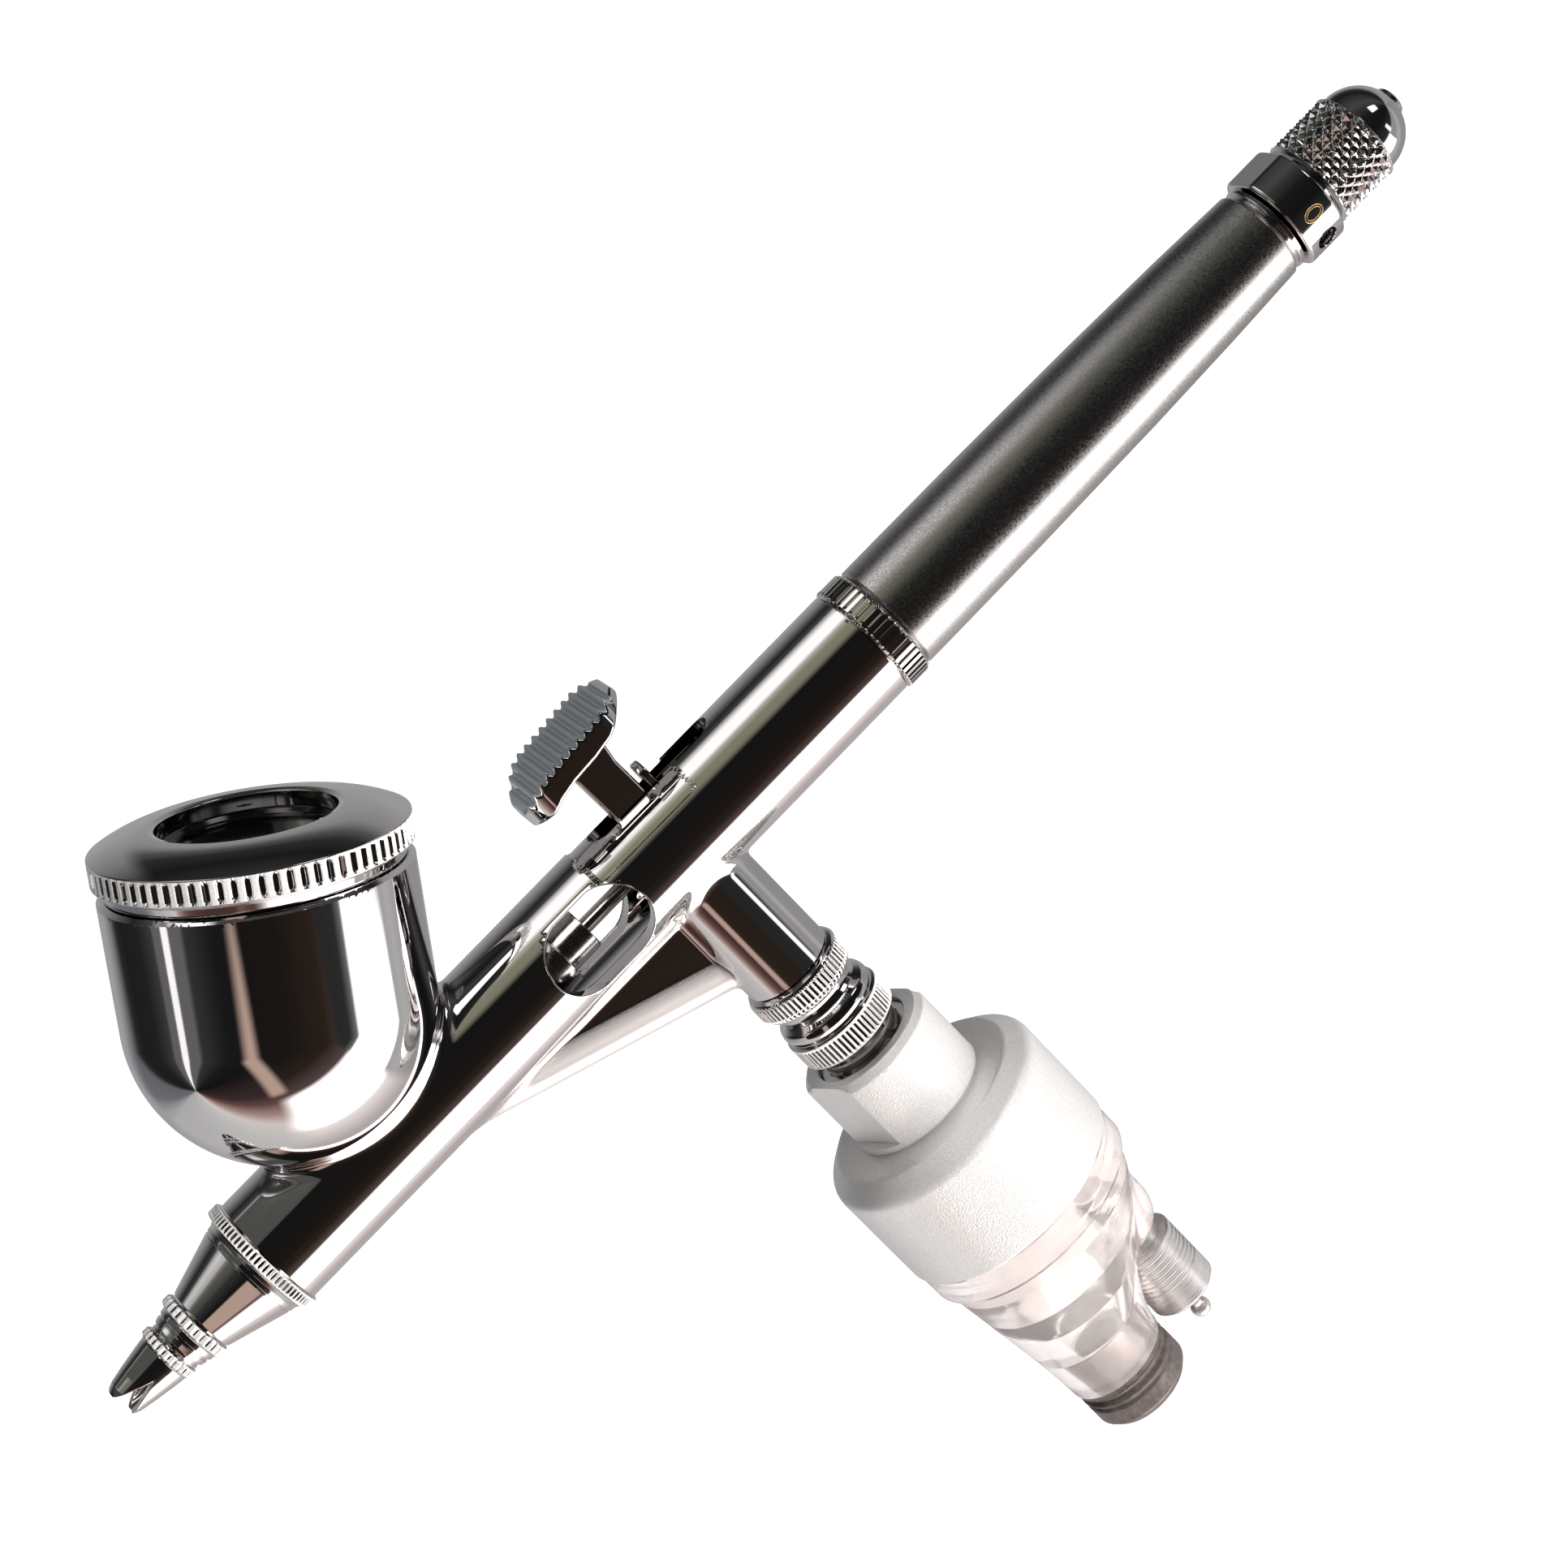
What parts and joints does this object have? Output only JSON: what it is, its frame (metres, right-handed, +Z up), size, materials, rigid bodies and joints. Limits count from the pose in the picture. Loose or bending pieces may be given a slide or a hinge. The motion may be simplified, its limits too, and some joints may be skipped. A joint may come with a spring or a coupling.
{
  "type": "airbrush gun",
  "caption": "Gravity-feed double-action airbrush with angled lidded paint cup, ribbed trigger, needle-travel preset knob and in-line moisture filter with drain.",
  "frame": {"origin": "where the barrel axis meets the air-valve axis", "axes": "+X along the barrel toward the tail knob, -X toward the spray tip, +Z up through the trigger, -Z down the air valve"},
  "size_m": [0.1522, 0.0262, 0.1032],
  "materials": {
    "chrome": "polished dark chrome plating",
    "satin_graphite": "satin dark graphite plating with a fine sparkle",
    "bead_blasted": "bead-blasted satin silver",
    "steel": "fine-turned stainless steel",
    "brass": "turned brass",
    "spring_steel": "drawn spring wire",
    "seal_white": "white solvent-proof fluoropolymer",
    "seal_black": "black nitrile rubber",
    "clear_bowl": "clear smoke-tinted moulded plastic",
    "dark_thread": "dark brown anodised thread",
    "element": "sintered off-white filter medium"
  },
  "bodies": {
    "gun_body": {"body_shell": "chrome", "head_base": "chrome", "head_seal": "seal_white", "fluid_nozzle": "steel", "nozzle_cap": "chrome", "needle_cap": "chrome", "needle_packing": "seal_white", "packing_screw": "steel", "spring_case": "steel", "needle_spring": "spring_steel", "rear_collar": "chrome", "handle_sleeve": "satin_graphite", "preset_dial": "chrome", "dial_grub_screw": "steel", "valve_packing": "seal_white", "valve_casing": "chrome", "valve_guide_screw": "brass", "valve_spring": "spring_steel", "union_collar": "chrome"},
    "lid": {"cup_lid": "chrome"},
    "valve_stem_body": {"valve_plunger": "brass"},
    "trigger_body": {"trigger": "chrome"},
    "lever_body": {"auxiliary_lever": "steel"},
    "needle_body": {"needle": "steel", "needle_chuck_guide": "steel", "needle_chuck_nut": "brass"},
    "knob_body": {"preset_knob": "chrome"},
    "preset_rod_body": {"preset_rod": "brass"},
    "filter_body": {"filter_head": "bead_blasted", "swivel_retainer": "steel", "union_o_ring": "seal_black", "filter_bowl": "clear_bowl", "bowl_seal": "seal_black", "filter_element": "element", "drain_body": "steel", "drain_spring": "spring_steel", "inlet_fitting": "dark_thread"},
    "drain_pin_body": {"drain_pin": "steel", "drain_seal": "seal_black"}
  },
  "joints": [
    {"name": "lid_lift", "type": "slide", "parent": "gun_body", "child": "lid", "axis": [0.5721, 0, 0.8202], "range_m": [0, 0.01]},
    {"name": "trigger_press", "type": "slide", "parent": "gun_body", "child": "valve_stem_body", "axis": [0, 0, -1], "range_m": [0, 0.0012], "stiffness_N_per_m": 600, "deforming": ["valve_spring"]},
    {"name": "trigger_pull", "type": "hinge", "parent": "valve_stem_body", "child": "trigger_body", "pos_m": [0, 0, -0.0025], "axis": [0, 1, 0], "range_deg": [0, 20]},
    {"name": "lever_swing", "type": "hinge", "parent": "gun_body", "child": "lever_body", "pos_m": [0.0026, 0, -0.0028], "axis": [0, 1, 0], "range_deg": [0, 23]},
    {"name": "needle_draw", "type": "slide", "parent": "gun_body", "child": "needle_body", "axis": [1, 0, 0], "range_m": [0, 0.0024], "deforming": ["needle_spring"]},
    {"name": "preset_turn", "type": "hinge", "parent": "gun_body", "child": "knob_body", "pos_m": [0.08, 0, 0], "axis": [1, 0, 0], "range_deg": [0, 1440]},
    {"name": "preset_feed", "type": "slide", "parent": "gun_body", "child": "preset_rod_body", "axis": [-1, 0, 0], "range_m": [0, 0.002]},
    {"name": "filter_swivel", "type": "hinge", "parent": "gun_body", "child": "filter_body", "pos_m": [0, 0, -0.028], "axis": [0, 0, 1], "continuous": true},
    {"name": "drain_press", "type": "slide", "parent": "filter_body", "child": "drain_pin_body", "axis": [0, 0, 1], "range_m": [0, 0.0015], "deforming": ["drain_spring"]}
  ],
  "couplings": [
    {"joint": "trigger_pull", "follows": "needle_draw", "rad_per_m": 145.43},
    {"joint": "lever_swing", "follows": "needle_draw", "rad_per_m": 167.25},
    {"joint": "preset_turn", "follows": "preset_feed", "rad_per_m": 12566}
  ]
}
